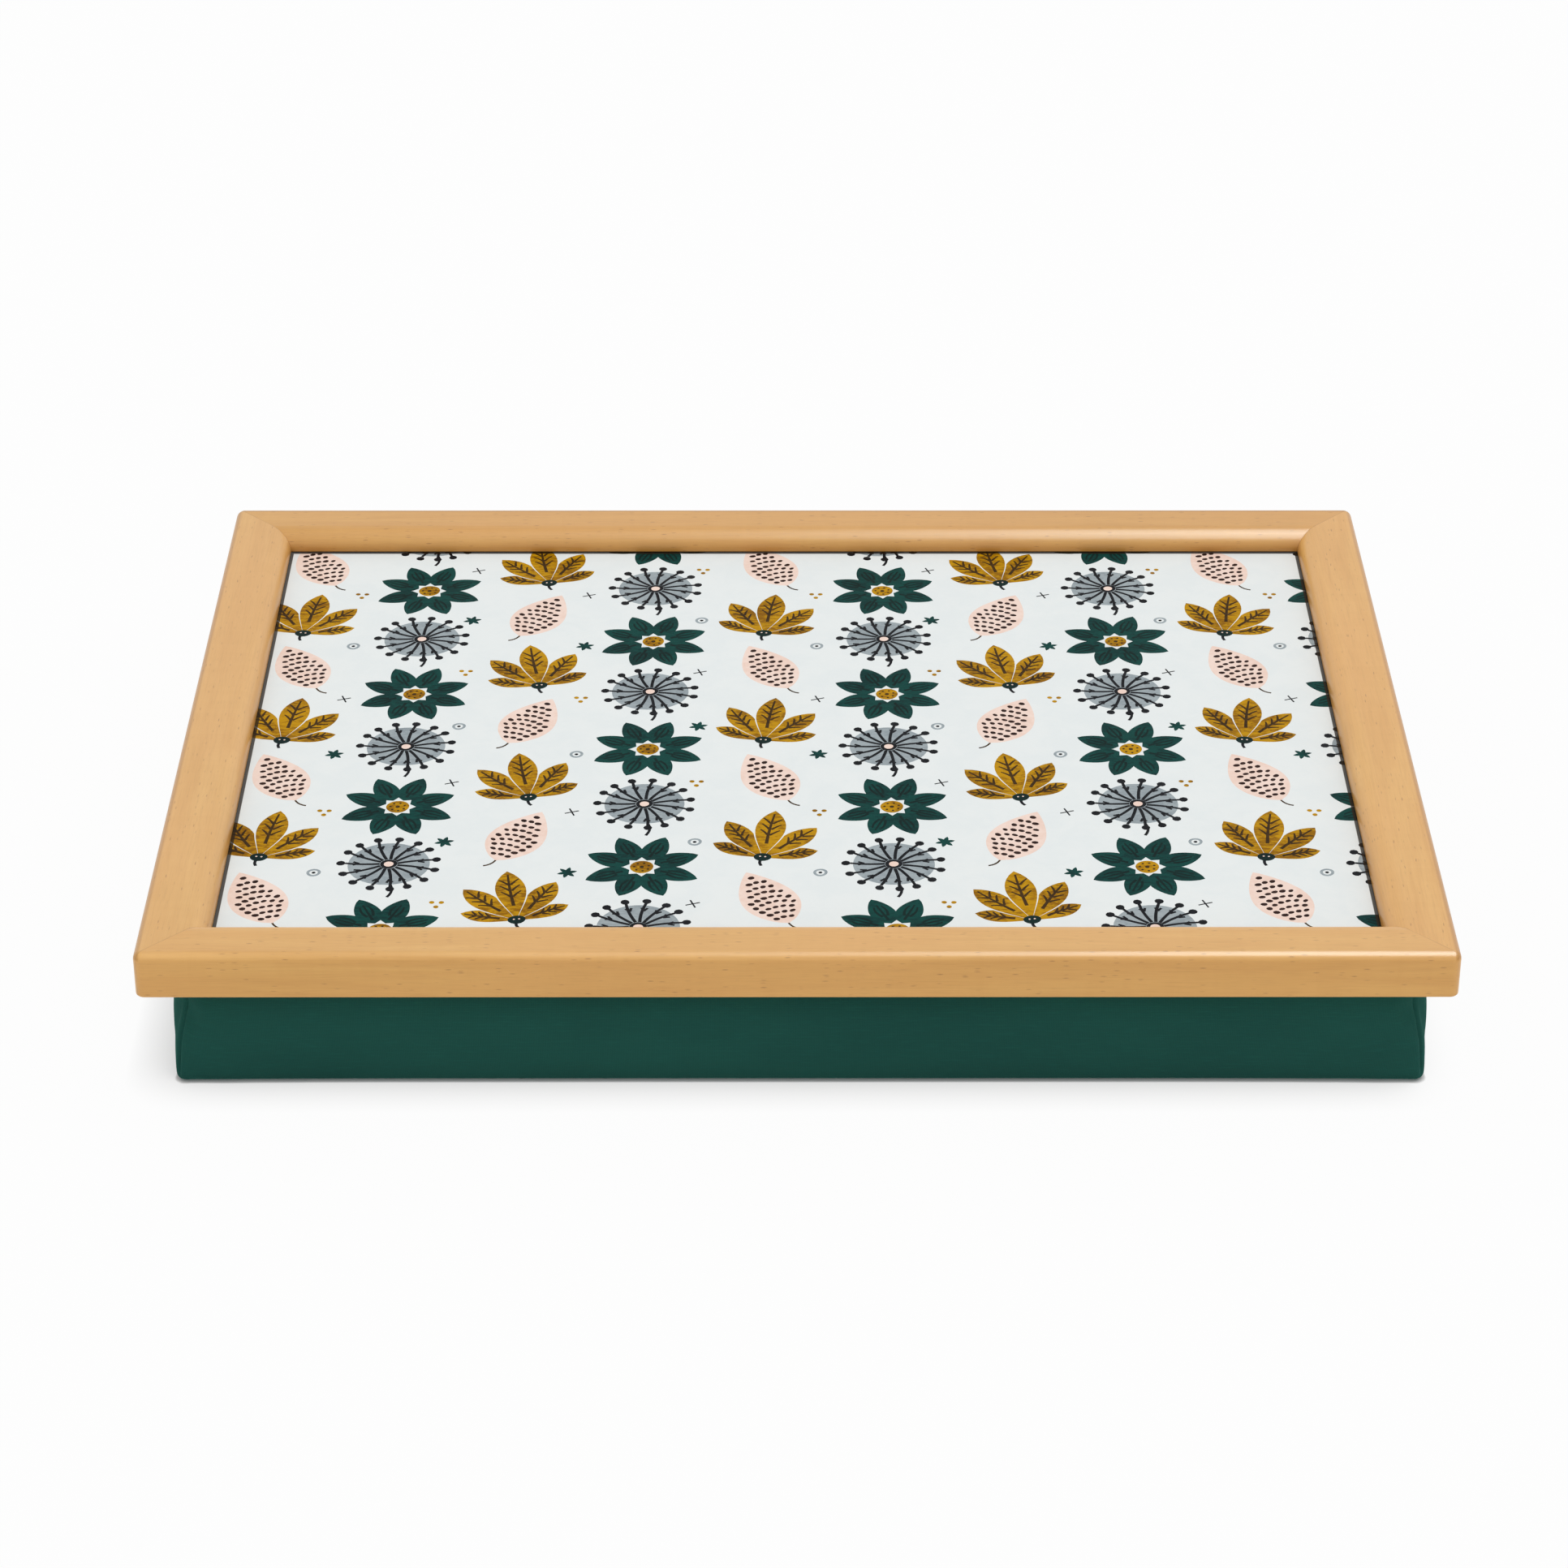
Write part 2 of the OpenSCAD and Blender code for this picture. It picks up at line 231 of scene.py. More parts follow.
def beech(name, along, seed, tone, highlight_strength, steep):
    """Satin beech, its grain along one axis: soft figure, fine fibres and short dark flecks."""
    s = Shader(name, {"Specular IOR Level": 0.0, "Coat Weight": 1.0, "Coat Roughness": 0.3})
    x, y, z = s.place()
    u, v = (x, y) if along == "X" else (y, x)
    pale, deep, pink, fibres, specks, mitre = (scaled(color, tone) for color in BEECH)
    cloud = s.noise(u, v, z, 11, 24, 24, seed, detail=3, rough=0.55)
    figure = s.noise(u, v, z, 8, 110, 110, seed + 3.1, detail=4, rough=0.55, warp=1.1)
    ripple = s.noise(u, v, z, 150, 45, 45, seed + 2.2, warp=0.8)
    fibre = s.noise(u, v, z, 75, 1900, 1900, seed + 5.7, rough=0.65)
    color = s.blend(s.between(figure, 0.15, 0.9), pale, deep)
    color = s.blend(s.between(cloud, 0.3, 0.7, 0.0, 0.6), color, pink)
    color = s.blend(s.between(ripple, 0.35, 0.7, 0.0, 0.16), color, deep)
    color = s.blend(s.between(fibre, 0.42, 0.8, 0.0, 0.26), color, fibres)
    # Flecks: one long cell in five holds one
    slant = s.math("MULTIPLY_ADD", s.noise(u, v, z, 30, 60, 60, seed), 0.004, v)
    distance, cell = s.cells(u, slant, z, 240, 1350, 1350, seed + 9.3)[:2]
    pick = s.node("SeparateColor", (cell,)).outputs
    flecks = s.times(s.between(distance, 0.08, 0.38, 1.0, 0.0), s.between(pick[0], 0.80, 0.83))
    flecks = s.times(flecks, s.between(pick[1], 0.0, 1.0, 0.15, 0.75))
    color = s.blend(flecks, color, specks)
    # The mitres: a hairline where two rails meet, in places fainter
    run = s.math("SUBTRACT", s.math("SUBTRACT", s.size(x), s.size(y)), FRAME_A - FRAME_B)
    hair = s.between(s.size(run), *MITRE, 1.0, 0.0)
    patchy = s.between(s.noise(x, y, z, 160, 160, 160, seed), 0.3, 0.7, 0.1, 0.45)
    color = s.blend(s.times(hair, patchy), color, mitre)
    # Painted shade: the lips' inner faces darken towards the board, down to a painted shadow line
    # beside it
    inside = s.times(*(
        s.between(s.size(part), well + ROUNDING[0], well + ROUNDING[1], 1.0, 0.0)
        for part, well in ((x, WELL_A), (y, WELL_B))
    ))
    # painted shade deepening the lips' inner faces towards the board
    low = s.times(inside, s.between(z, WELL + 0.0010, WELL + 0.0055, 0.75, 0.0))
    color = s.blend(low, color, (0.78, 0.69, 0.50), "MULTIPLY")
    # painted shadow line where the lip meets the board
    lip_shadow_line = s.times(inside, s.between(z, WELL + 0.0003, WELL + 0.0007, 0.9, 0.0))
    color = s.blend(lip_shadow_line, color, (0.095, 0.050, 0.016))
    # Painted highlight: the rounded edges are made paler; painted shade: the upright faces are made
    # deeper
    up = s.facing()[2]
    wear_and_highlight = s.noise(u, v, z, 40, 60, 60, seed + 1.9, detail=3)
    # painted highlight on the rounded edges, varied by a noise
    edge = s.times(s.between(up, 0.90, 0.995, 1.0, 0.0), s.between(up, 0.30, 0.72))
    edge = s.times(edge, s.between(wear_and_highlight, 0.3, 0.7, 0.8 * highlight_strength, highlight_strength))
    color = s.blend(edge, color, (1.08, 1.09, 1.10), "MULTIPLY")
    # painted shade: faces that turn upright are made deeper and browner
    upright_shade = s.between(up, 0.15, steep, 1.0, 0.0)
    color = s.blend(upright_shade, color, (0.945, 0.905, 0.79), "MULTIPLY")
    # Painted shade: the outer roundings darken at the back and the sides
    rim = s.larger(
        s.between(s.size(x), FRAME_A - 0.0016, FRAME_A - 0.0006),
        s.between(y, FRAME_B - 0.0028, FRAME_B - 0.0018),
    )
    rim = s.times(rim, s.between(up, 0.10, 0.35, 0.0, 0.85))
    color = s.blend(rim, color, (0.70, 0.62, 0.46), "MULTIPLY")
    height = s.math("SUBTRACT", fibre, s.times(flecks, 0.8))
    return s.finished(color, s.between(wear_and_highlight, 0.3, 0.7, 0.40, 0.52), s.bump(height, 0.00003, 0.5))


def steel(name):
    """Zinc-plated wire and sheet: cloudy, with fine drawing marks."""
    s = Shader(name, {"Metallic": 1.0})
    x, y, z = s.place()
    cloud = s.noise(x, y, z, 900, 900, 900, detail=3)
    marks = s.noise(x, y, z, 9000, 9000, 700)
    color = s.blend(s.between(cloud, 0.35, 0.65), (0.60, 0.61, 0.63), (0.46, 0.47, 0.50))
    return s.finished(color, s.between(marks, 0.3, 0.7, 0.24, 0.42), s.bump(marks, 0.00002, 0.5))


def fibreboard(name):
    """Pressed fibres: a felted mottle and a furry cut edge."""
    s = Shader(name, {"Specular IOR Level": 0.25})
    x, y, z = s.place()
    felt = s.noise(x, y, z, 700, 700, 2600, detail=5, rough=0.7)
    specks = s.cells(x, y, z, 1400, 1400, 2400)[0]
    color = s.blend(s.between(felt, 0.3, 0.7), (0.50, 0.33, 0.19), (0.34, 0.21, 0.11))
    color = s.blend(s.between(specks, 0.06, 0.2, 0.45, 0.0), color, (0.16, 0.09, 0.045))
    return s.finished(color, 0.86, s.bump(felt, 0.00012, 0.7))


def paper(name):
    """Plain balancing paper: grey-buff, with a faint fibre."""
    s = Shader(name, {"Specular IOR Level": 0.3})
    fibre = s.noise(*s.place(), 500, 1600, 500, detail=5, rough=0.7)
    color = s.blend(s.between(fibre, 0.3, 0.7), (0.64, 0.60, 0.52), (0.52, 0.47, 0.39))
    return s.finished(color, 0.8, s.bump(fibre, 0.00004, 0.5))


def hardboard(name):
    """Hardboard's screen side: the print of a wire mesh in dark pressed fibre."""
    s = Shader(name, {"Specular IOR Level": 0.3})
    x, y, z = s.place()
    turn = 2 * math.pi / SCREEN_PITCH * 0.7071
    wires = s.times(s.wave(s.math("ADD", x, y), turn), s.wave(s.math("SUBTRACT", x, y), turn))
    mesh = s.between(wires, -0.5, 0.9)
    felt = s.noise(x, y, z, 420, 420, 1500, detail=6, rough=0.72)
    broad = s.noise(x, y, z, 14, 14, 14, detail=3)
    color = s.blend(s.between(felt, 0.32, 0.7), (0.285, 0.158, 0.078), (0.150, 0.074, 0.034))
    color = s.blend(s.between(broad, 0.3, 0.7, 0.0, 0.4), color, (0.235, 0.118, 0.052))
    color = s.blend(s.times(mesh, 0.35), color, (0.085, 0.040, 0.018))
    height = s.math("SUBTRACT", s.times(felt, 0.6), mesh)
    return s.finished(color, s.between(felt, 0.3, 0.7, 0.62, 0.82), s.bump(height, 0.00022, 0.8))


def ink(name, color, deep, patch, streak=1.0, share=0.8):
    """One printed colour in the laminate: a dry-brush mottle under the sheet's fine satin texture."""
    s = Shader(name, {"Specular IOR Level": 0.03})
    x, y, z = s.place()
    mottle = s.noise(x, y, z, patch, patch * streak, patch, detail=5, rough=0.66, warp=0.4)
    broad = s.noise(x, y, z, 60, 60, 60)
    mix = s.math("MULTIPLY_ADD", broad, 0.35, s.times(mottle, 0.65), clamp=True)
    tone = s.blend(s.between(mix, 0.42, 0.60, 0.0, share), color, deep)
    # The joint beside the lips, dark with shade and dust
    joint_shade_and_dust = s.larger(*(
        s.between(s.size(part), well - JOINT_SHADE_AND_DUST[0], well - JOINT_SHADE_AND_DUST[1], 0.0, 0.9)
        for part, well in ((x, WELL_A), (y, WELL_B))
    ))
    tone = s.blend(joint_shade_and_dust, tone, (0.024, 0.014, 0.006))
    pebble = s.noise(x, y, z, 3600, 3600, 3600, detail=3, rough=0.6)
    smear = s.noise(x, y, z, 22, 35, 22, detail=4, rough=0.6)
    return s.finished(tone, s.between(smear, 0.3, 0.7, 0.36, 0.46), s.bump(pebble, 0.000012, 0.5))


def woven(s):
    """A plain weave on the face that looks along each axis: 0 in the gaps, 1 on the threads."""
    x, y, z = s.place()
    weights = [s.math("POWER", s.size(part), 6.0) for part in s.facing()]
    total = s.math("ADD", s.math("ADD", weights[0], weights[1]), weights[2])
    turn = math.pi / WEAVE_PITCH
    mix = 0.0
    for (p, q), weight in zip(((y, z), (x, z), (x, y)), weights):
        over = s.size(s.times(s.wave(p, turn), s.wave(q, turn)))
        mix = s.math("MULTIPLY_ADD", s.math("POWER", over, 0.6), weight, mix)
    return s.math("DIVIDE", mix, total)


def cushion_cloth(name):
    """The cover: a close plain weave in deep green, with a faint nap and slubs."""
    values = {
        "Specular IOR Level": 0.10, "Sheen Weight": 0.18, "Sheen Roughness": 0.3,
        "Sheen Tint": (0.06, 0.80, 0.62),
    }
    s = Shader(name, values)
    x, y, z = s.place()
    weave = woven(s)
    slub = s.noise(x, y, z, 120, 120, 1500, detail=3, rough=0.6)
    cloud = s.noise(x, y, z, 16, 16, 30, detail=3)
    color = s.blend(s.between(cloud, 0.3, 0.7), (0.0122, 0.0830, 0.0655), (0.0104, 0.0710, 0.0570))
    color = s.blend(s.between(weave, 0.15, 0.8, 0.35, 0.0), color, (0.0045, 0.0310, 0.0250))
    color = s.blend(s.between(slub, 0.45, 0.75, 0.0, 0.25), color, (0.0180, 0.1080, 0.0860))
    # The beads press through faintly
    beads = s.cells(x, y, z, 330, 330, 330, feature="SMOOTH_F1")[0]
    under = s.bump(beads, 0.00018, 0.25)
    normal = s.bump(s.math("MULTIPLY_ADD", slub, 0.3, weave), 0.00006, 0.6, Normal=under)
    return s.finished(color, s.between(slub, 0.3, 0.7, 0.78, 0.9), normal)


def thread(name, color):
    """Twisted sewing thread."""
    s = Shader(name, {"Specular IOR Level": 0.3, "Sheen Weight": 0.2})
    x, y, z = s.place()
    twist = s.wave(s.math("ADD", s.math("ADD", x, y), z), TWIST)
    tone = s.blend(s.between(twist, -1, 1), color, scaled(color, 0.5))
    return s.finished(tone, 0.7, s.bump(twist, 0.00003, 0.6))


def tape(name, color, pile):
    """Woven nylon tape: a ribbed edge, and a tufted or hooked field."""
    s = Shader(name, {"Specular IOR Level": 0.35, "Sheen Weight": 0.25, "Sheen Roughness": 0.45})
    x, y, z = s.place()
    turn = math.pi / RIB_PITCH
    ribs = s.times(s.wave(x, turn), s.wave(y, turn))
    tufts = s.cells(x, y, z, pile, pile, pile)[0]
    fuzz = s.noise(x, y, z, 2600, 2600, 2600, detail=4, rough=0.7)
    tone = s.blend(s.between(tufts, 0.05, 0.6), scaled(color, 1.7), color)
    tone = s.blend(s.between(fuzz, 0.5, 0.8, 0.0, 0.5), tone, scaled(color, 3.0))
    height = s.math("ADD", s.times(ribs, 0.3), s.times(fuzz, 0.7))
    return s.finished(tone, 0.72, s.bump(height, 0.0001, 0.7))


# LIGHT AND FLOOR

AMBIENT = 0.85
KEY = 0.16
KEY_FROM = Vector((0.24, -0.06, 0.97)).normalized()
KEY_SPREAD = 17
PANEL_SIZE = (1.4, 1.9)
PANEL_AT = (0.84, -0.10, 1.5)
PANEL_GLOW = 8.0
PANEL_TINT = (0.66, 0.85, 1.0)
FLOOR_HALF = 6.0
FLOOR_DROP = 0.0001
FLOOR_GLOW = 0.96
FLOOR_PALE = (0.62, 0.62, 0.62)
FLOOR_PLAIN = (0.93, 0.93, 0.93)
# Rays shorter than this come from what lies on the floor
FLOOR_NEAR = 0.0006
# The shadow right under the cushion's edge, and the wide soft one
TOUCH_REACH, TOUCH_POWER = 0.0018, 4.5
SHADE_REACH, SHADE_POWER = 0.018, 0.5
# The shade lies more to the left and in front, away from the light
SHADE_TILT = Vector((0.62, 0.10, 0.80)).normalized()


def floor_material():
    """White to the camera, with the object's shadow kept; a plain pale floor to other rays."""
    material = bpy.data.materials.new("floor")
    material.use_nodes = True
    s = Nodes(material.node_tree)
    path = s.node("LightPath")
    touch = s.node("AmbientOcclusion", {"Distance": TOUCH_REACH}, samples=8)
    tilt = s.point(*SHADE_TILT)
    shade = s.node("AmbientOcclusion", {"Distance": SHADE_REACH, "Normal": tilt}, samples=16)
    share = s.times(
        s.math("POWER", touch.outputs["AO"], TOUCH_POWER),
        s.math("POWER", shade.outputs["AO"], SHADE_POWER),
    )
    pale, plain = (s.node("BsdfDiffuse", (color,)).outputs[0] for color in (FLOOR_PALE, FLOOR_PLAIN))
    lit = s.mixed(s.times(share, FLOOR_GLOW), pale, s.node("Emission").outputs[0])
    both = s.mixed(s.seen(path), plain, lit)
    # Seen from below it isn't there, and what lies on it gets light from below
    near = s.math("LESS_THAN", path.outputs["Ray Length"], FLOOR_NEAR)
    gone = s.larger(s.node("NewGeometry").outputs["Backfacing"], near)
    clear = s.node("BsdfTransparent").outputs[0]
    s.node("OutputMaterial", {"Surface": s.mixed(gone, both, clear)})
    return material


def make_stage():
    world = bpy.data.worlds.new("world")
    scene.world = world
    world.use_nodes = True
    sky = Nodes(world.node_tree)
    strength = sky.between(sky.seen(sky.node("LightPath")), 0, 1, AMBIENT, 1.0)
    back = sky.node("Background", ((1, 1, 1), strength))
    sky.node("OutputWorld", (back.outputs[0],))

    light = bpy.data.lights.new("key", "SUN")
    light.energy = KEY * math.pi / KEY_FROM.z
    light.angle = math.radians(KEY_SPREAD)
    key = add_object("key", light)
    key.rotation_mode = "QUATERNION"
    key.rotation_quaternion = KEY_FROM.to_track_quat("Z", "Y")

    # A broad soft light overhead, to the right, that shows only as a gloss on the lacquer
    panel = bpy.data.lights.new("panel", "AREA")
    panel.shape = "RECTANGLE"
    panel.size, panel.size_y = PANEL_SIZE
    panel.color = PANEL_TINT
    panel.energy = PANEL_GLOW * math.pi * PANEL_SIZE[0] * PANEL_SIZE[1]
    soft = add_object("panel", panel)
    soft.location = PANEL_AT
    soft.visible_diffuse = False

    mesh = bpy.data.meshes.new("floor")
    corners = [(-1, -1), (1, -1), (1, 1), (-1, 1)]
    mesh.from_pydata([(x * FLOOR_HALF, y * FLOOR_HALF, 0) for x, y in corners], [], [(0, 1, 2, 3)])
    mesh.materials.append(floor_material())
    floor = add_object("floor", mesh)
    floor.location.z = -FLOOR_DROP

    scene.view_settings.view_transform = "Standard"


# MESH HELPERS


def add_piece(name, mesh, material_list, body, smooth=True):
    for material in material_list:
        mesh.materials.append(material)
    if smooth:
        mesh.shade_smooth()
    piece = add_object(name, mesh)
    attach(piece, body)
    return piece


def dress(node, material):
    nodes[node].data.materials.clear()
    nodes[node].data.materials.append(material)


def read_points(mesh, what="co"):
    found = np.empty(len(mesh.vertices) * 3, np.float64)
    mesh.vertices.foreach_get(what, found)
    return found.reshape(-1, 3)


def write_points(mesh, co):
    """Moves a mesh's points to co, which is in millimetres."""
    mesh.vertices.foreach_set("co", (co * MM).astype(np.float32).ravel())
    mesh.update()


# PRINTED SHEET
# The inks are cut into the sheet's top as areas of its one surface. Millimetres here.


def disc(cx, cy, r, n=12, squash=1.0, turn=0.0, wobble=0.03, phase=0.0):
    made = []
    for i in range(n):
        t = 2 * math.pi * i / n
        k = r * (1 + wobble * (math.sin(2 * t + phase) + 0.7 * math.sin(3 * t + 2.3 * phase)))
        x, y = k * math.cos(t), k * squash * math.sin(t)
        c, s = math.cos(turn), math.sin(turn)
        made.append((cx + x * c - y * s, cy + x * s + y * c))
    return made


def petal(cx, cy, turn, length, width, n=12, belly=0.8, blunt=0.75):
    """A closed outline from its foot to its tip, widest at 0.5 ** (1 / belly) of its length."""
    upper, lower = [], []
    for i in range(n + 1):
        s = i / n
        w = width / 2 * math.sin(math.pi * s**belly) ** blunt if 0 < i < n else 0
        upper.append((s * length, w))
        lower.append((s * length, -w))
    outline = upper + lower[-2:0:-1]
    c, s = math.cos(turn), math.sin(turn)
    return [(cx + x * c - y * s, cy + x * s + y * c) for x, y in outline[::-1]]


def stroke(path, wide, thin=None):
    """A pen line along a path, wide at its start and thin at its end."""
    thin = wide if thin is None else thin
    left, right = [], []
    for i, (x, y) in enumerate(path):
        ax, ay = path[max(i - 1, 0)]
        bx, by = path[min(i + 1, len(path) - 1)]
        run = math.hypot(bx - ax, by - ay) or 1
        nx, ny = -(by - ay) / run, (bx - ax) / run
        w = (wide + (thin - wide) * i / (len(path) - 1)) / 2
        left.append((x + nx * w, y + ny * w))
        right.append((x - nx * w, y - ny * w))
    return left[::-1] + right


def arc_path(points, n=8):
    """A smooth path through three points."""
    (ax, ay), (bx, by), (cx, cy) = points
    made = []
    for i in range(n + 1):
        t = i / n
        p, q, r = (1 - t) ** 2, 2 * t * (1 - t), t * t
        mx, my = 2 * bx - (ax + cx) / 2, 2 * by - (ay + cy) / 2
        made.append((p * ax + q * mx + r * cx, p * ay + q * my + r * cy))
    return made


def along(turn, r, side=0.0):
    return (r * math.cos(turn) - side * math.sin(turn), r * math.sin(turn) + side * math.cos(turn))


def rosette(rng):
    """Eight broad petals round a button."""
    shapes = []
    for k in range(8):
        turn = math.radians(45 * k + 11 + rng.uniform(-2, 2))
        foot = along(turn, 4.6)
        length = 16.2 * rng.uniform(0.96, 1.04)
        shapes.append((petal(*foot, turn, length, 9.2, 12, 0.78, 0.72), "teal"))
        for side, start, end in ((0, 7.0, 17.3), (1.7, 9.6, 16.2), (-1.7, 9.6, 16.2)):
            path = arc_path(
                [
                    along(turn, start, side * 0.55),
                    along(turn, (start + end) / 2, side * 1.12),
                    along(turn, end, side * 0.8),
                ],
                5,
            )
            shapes.append((stroke(path, 1.1, 0.6), "deep_teal"))
    shapes.append((disc(0, 0, 4.1, 20, wobble=0.02, phase=rng.uniform(0, 6)), "mustard"))
    for k in range(7):
        turn = math.radians(360 / 7 * k + 9)
        shapes.append((disc(*along(turn, 2.6), 0.5, 7), "brown"))
    shapes.append((disc(0, 0, 0.85, 8), "brown"))
    return shapes


def palmette(rng):
    """A fan of ribbed petals on a short stem."""
    base = (0.0, -14.6)
    shapes = [(stroke(arc_path([(0.4, -19.8), (-0.5, -17.4), base], 5), 1.1, 1.1), "dark")]
    fan = [(-68, 20.5, 7.2), (68, 20.5, 7.2), (-35, 28.5, 9.4), (35, 28.5, 9.4), (0, 33.0, 10.6)]
    for lean, length, width in fan:
        turn = math.radians(90 - lean + rng.uniform(-1.5, 1.5))
        shapes.append((petal(*base, turn, length, width + 1.3, 14, 1.45, 0.8), "ground"))
        shapes.append((petal(*base, turn, length - 0.6, width, 14, 1.45, 0.8), "mustard"))
        reach = length - 0.6
        rib = [along(turn, reach * 0.30), along(turn, reach * 0.6, 0.25), along(turn, reach * 0.93)]
        shapes.append(
            (stroke([(base[0] + x, base[1] + y) for x, y in arc_path(rib, 6)], 1.3, 0.7), "brown")
        )
        for share in (0.48, 0.60, 0.72):
            for side in (-1, 1):
                a = along(turn, reach * share, side * 0.3)
                b = along(turn, reach * (share + 0.07), side * width * 0.2)
                c = along(turn, reach * (share + 0.11), side * width * 0.33)
                path = arc_path([a, b, c], 4)
                shapes.append(
                    (stroke([(base[0] + p, base[1] + q) for p, q in path], 1.05, 0.55), "brown")
                )
    shapes.append((disc(base[0], base[1] + 0.6, 3.1, 16, squash=0.85), "deep_teal"))
    shapes.append((disc(base[0] - 0.9, base[1] + 1.0, 0.4, 6), "blush"))
    shapes.append((disc(base[0] + 0.9, base[1] + 1.0, 0.4, 6), "blush"))
    return shapes


def seed_head(rng):
    """A round seed head with spokes and tufts."""
    shapes = [(stroke(arc_path([(-1.2, -19.8), (0.6, -15.5), (0.0, -11.0)], 6), 1.1, 0.9), "dark")]
    shapes.append((disc(0, 2.0, 14.0, 44, wobble=0.012, phase=1.3), "grey"))

    def spot(turn, r):
        return r * math.cos(turn), 2.0 + r * math.sin(turn)

    for k in range(15):
        turn = math.radians(24 * k + 4 + rng.uniform(-2, 2))
        end = 15.6 * rng.uniform(0.96, 1.03)
        path = arc_path([spot(turn, 3.1), spot(turn + 0.05, 9.4), spot(turn, end)], 5)
        shapes.append((stroke(path, 1.2, 1.1), "dark"))
        for side in (-0.085, 0.085):
            shapes.append((stroke([spot(turn, 10.2), spot(turn + side, 12.4)], 0.95), "dark"))
        shapes.append((disc(*spot(turn, 16.6), 1.6, 9, phase=k), "dark"))
    shapes.append((disc(0, 2.0, 3.0, 16, phase=0.4), "dark"))
    shapes.append((disc(0, 2.0, 1.7, 12, phase=0.4), "blush"))
    return shapes


def dotted_drop(rng):
    """A plump drop with rows of dots, on a bent stem."""
    lean = math.radians(66)
    foot, length, belly, blunt, pitch = -17.5, 36.0, 0.82, 0.86, 2.75
    stem = arc_path([along(lean, -22.5, 2.2), along(lean, -20.0, 0.3), along(lean, -16.5)], 5)
    shapes = [(stroke(stem, 0.8, 0.7), "brown")]
    drop = petal(*along(lean, foot), lean, length, 20.0, 24, belly, blunt)
    shapes.append((drop, "blush"))
    for row in range(9):
        r = -13.2 + 3.45 * row
        s = (r - foot) / length
        half = 9.7 * math.sin(math.pi * s**belly) ** blunt - 1.1
        count = max(1, int(half * 2 / pitch))
        for i in range(count):
            side = (i - (count - 1) / 2) * pitch
            if row % 2 and count > 1:
                side += 0.35
            where = along(lean, r - 0.045 * side * side + rng.uniform(-0.15, 0.15), side)
            dot = disc(
                *where, rng.uniform(1.08, 1.34), 8, squash=rng.uniform(0.66, 0.88),
                turn=lean + 1.57 - 0.05 * side, wobble=0.05, phase=rng.uniform(0, 6),
            )
            shapes.append((dot, "dots"))
    return shapes


def filler(kind, cx, cy):
    if kind == 0:
        return [
            (disc(cx + 1.9 * math.cos(t), cy + 1.9 * math.sin(t), 0.95, 9, phase=t), "mustard")
            for t in (0.5, 2.6, 4.7)
        ]
    if kind == 1:
        return [(petal(cx, cy, math.radians(60 * k + 15), 3.6, 1.7, 5), "teal") for k in range(6)]
    if kind == 2:
        return [
            (stroke([(cx - 2.6 * c, cy - 2.6 * s), (cx + 2.6 * c, cy + 2.6 * s)], 0.6), "dark")
            for c, s in ((0.94, 0.34), (-0.34, 0.94))
        ]
    return [
        (disc(cx, cy, 2.5, 16), "grey"),
        (disc(cx, cy, 1.5, 12), "ground"),
        (disc(cx, cy, 0.7, 8), "dark"),
    ]


MOTIFS = (rosette, palmette, seed_head, dotted_drop)
# Each ink's colour and its deeper tone, how fine its mottle is, how streaky and how strong
INKS = {
    "ground": ((0.800, 0.832, 0.826), (0.772, 0.812, 0.812), 90),
    "teal": ((0.0030, 0.0560, 0.0470), (0.0020, 0.0230, 0.0225), 300, 2.6),
    "deep_teal": ((0.0030, 0.0200, 0.0175), (0.0025, 0.0120, 0.0110), 500),
    "mustard": ((0.520, 0.268, 0.0020), (0.225, 0.092, 0.0008), 300, 2.4, 0.95),
    "brown": ((0.060, 0.029, 0.0055), (0.030, 0.015, 0.0035), 600),
    "grey": ((0.355, 0.405, 0.425), (0.258, 0.300, 0.325), 420, 2.0),
    "dark": ((0.0060, 0.0065, 0.0085), (0.0140, 0.0150, 0.0180), 600),
    "blush": ((0.880, 0.700, 0.615), (0.830, 0.615, 0.520), 300),
    "dots": ((0.0180, 0.0066, 0.0050), (0.0400, 0.0165, 0.0120), 800),
}
TILE_X, TILE_Y = 43.6, 41.0
TILE_SHIFT = (12.0, 7.0)


def turned_shapes(shapes, angle, flip):
    c, s = math.cos(angle), math.sin(angle)
    made = []
    for outline, name in shapes:
        points = [(x * flip, y) for x, y in outline]
        if flip < 0:
            points = points[::-1]
        made.append(([(x * c - y * s, x * s + y * c) for x, y in points], name))
    return made


def cut_tile(box, x0, y0, x1, y1, shapes, names, found, faces):
    """Cuts one tile's inks into its part of the sheet and adds the triangles."""
    half_x, half_y = box
    left, right = max(x0, -half_x), min(x1, half_x)
    low, high = max(y0, -half_y), min(y1, half_y)
    if right - left < 0.01 or high - low < 0.01:
        return
    middle = (y0 + y1) / 2
    inner = [middle] if low + 0.01 < middle < high - 0.01 else []
    rim = [(left, low), (right, low)]
    rim += [(right, y) for y in inner] + [(right, high), (left, high)]
    rim += [(left, y) for y in inner]
    coords = [Vector(p) for p in rim]
    areas = [list(range(len(rim)))]
    inks = ["ground"]
    for outline, name in shapes:
        areas.append(list(range(len(coords), len(coords) + len(outline))))
        coords += [Vector(p) for p in outline]
        inks.append(name)
    verts, _, tris, _, _, origins = delaunay_2d_cdt(coords, [], areas, 1, 1e-4)
    keys = []
    for v in verts:
        key = (round(v[0], 3), round(v[1], 3))
        if key not in found:
            found[key] = len(found)
        keys.append(found[key])
    for tri, origin in zip(tris, origins):
        if 0 not in origin:
            continue
        three = [keys[i] for i in tri]
        if len(set(three)) == 3:
            faces.append((three, names.index(inks[max(origin)])))


